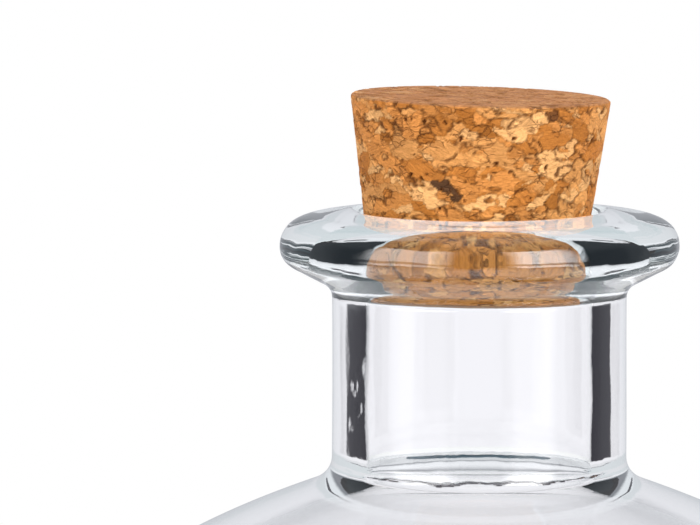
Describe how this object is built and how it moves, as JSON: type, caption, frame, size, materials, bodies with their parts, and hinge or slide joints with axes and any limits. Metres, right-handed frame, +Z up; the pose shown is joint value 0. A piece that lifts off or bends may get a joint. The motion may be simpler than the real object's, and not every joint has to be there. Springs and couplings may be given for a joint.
{
  "type": "ship in a bottle",
  "caption": "Corked clear glass flagon standing upright, holding a three-masted square rigger on a modelled sea; cork pulls out and masts fold aft.",
  "frame": {"origin": "centre of the bottle's resting plane, under its axis", "axes": "+Z up along the bottle's axis, +X to the ship's bow, +Y to its port side"},
  "size_m": [0.152, 0.152, 0.2115],
  "materials": {
    "clear_glass": "clear hand-made glass with a faint blue-green tint, seeds and waves",
    "cork": "agglomerated cork granules, matt",
    "sea": "moulded putty painted blue with white crests, varnished",
    "hull_paint": "painted, black-brown over a red-brown bottom with a pale stripe",
    "deck_wood": "planked, matt varnish",
    "dark_wood": "stained and varnished",
    "spar_wood": "varnished",
    "white_paint": "painted off-white",
    "sail_cloth": "stiffened cream cotton, seamed in panels",
    "rigging_thread": "twisted dark thread",
    "brass": "bent wire, dull polish",
    "iron": "black, matt",
    "flag_cloth": "red paper-stiff cloth"
  },
  "bodies": {
    "bottle_and_ship": {"bottle": "clear_glass", "sea": "sea", "hull": "hull_paint", "deck": "deck_wood", "quarterdeck": "deck_wood", "forecastle_deck": "deck_wood", "cap_rail": "dark_wood", "rudder": "dark_wood", "bowsprit": "spar_wood", "deckhouse": "white_paint", "deckhouse_roof": "dark_wood", "lifeboat_port": "white_paint", "lifeboat_starboard": "white_paint", "main_hatch": "dark_wood", "fore_hatch": "dark_wood", "capstan": "dark_wood", "wheel_stand": "dark_wood", "ship_wheel": "brass", "anchor_port": "iron", "anchor_starboard": "iron", "fore_stay": "rigging_thread", "fore_inner_stay": "rigging_thread", "main_stay": "rigging_thread", "mizzen_stay": "rigging_thread", "outer_jib": "sail_cloth", "inner_jib": "sail_cloth", "fore_hinge_staple": "brass", "fore_shrouds_port": "rigging_thread", "fore_shrouds_starboard": "rigging_thread", "main_hinge_staple": "brass", "main_shrouds_port": "rigging_thread", "main_shrouds_starboard": "rigging_thread", "mizzen_hinge_staple": "brass", "mizzen_shrouds_port": "rigging_thread", "mizzen_shrouds_starboard": "rigging_thread"},
    "cork": {"cork": "cork"},
    "fore_rig": {"fore_mast": "spar_wood", "fore_lower_yard": "spar_wood", "fore_course_sail": "sail_cloth", "fore_topsail_yard": "spar_wood", "fore_topsail_sail": "sail_cloth", "fore_topgallant_yard": "spar_wood", "fore_topgallant_sail": "sail_cloth", "fore_pennant": "flag_cloth"},
    "main_rig": {"main_mast": "spar_wood", "main_lower_yard": "spar_wood", "main_course_sail": "sail_cloth", "main_topsail_yard": "spar_wood", "main_topsail_sail": "sail_cloth", "main_topgallant_yard": "spar_wood", "main_topgallant_sail": "sail_cloth", "main_pennant": "flag_cloth"},
    "mizzen_rig": {"mizzen_mast": "spar_wood", "mizzen_lower_yard": "spar_wood", "mizzen_course_sail": "sail_cloth", "mizzen_topsail_yard": "spar_wood", "mizzen_topsail_sail": "sail_cloth", "mizzen_pennant": "flag_cloth"}
  },
  "joints": [
    {"name": "cork_pull", "type": "slide", "parent": "bottle_and_ship", "child": "cork", "axis": [0, 0, 1], "range_m": [0, 0.06]},
    {"name": "fore_fold", "type": "hinge", "parent": "bottle_and_ship", "child": "fore_rig", "pos_m": [0.025, 0, 0.0314], "axis": [0, -1, 0], "range_deg": [0, 45], "deforming": ["fore_stay", "fore_inner_stay", "outer_jib", "inner_jib", "fore_shrouds_port", "fore_shrouds_starboard"]},
    {"name": "main_fold", "type": "hinge", "parent": "bottle_and_ship", "child": "main_rig", "pos_m": [-0.002, 0, 0.0314], "axis": [0, -1, 0], "range_deg": [0, 45], "deforming": ["main_stay", "main_shrouds_port", "main_shrouds_starboard"]},
    {"name": "mizzen_fold", "type": "hinge", "parent": "bottle_and_ship", "child": "mizzen_rig", "pos_m": [-0.029, 0, 0.0314], "axis": [0, -1, 0], "range_deg": [0, 45], "deforming": ["mizzen_stay", "mizzen_shrouds_port", "mizzen_shrouds_starboard"]}
  ],
  "couplings": [
    {"joint": "main_fold", "follows": "fore_fold", "ratio": 1},
    {"joint": "mizzen_fold", "follows": "fore_fold", "ratio": 1}
  ]
}
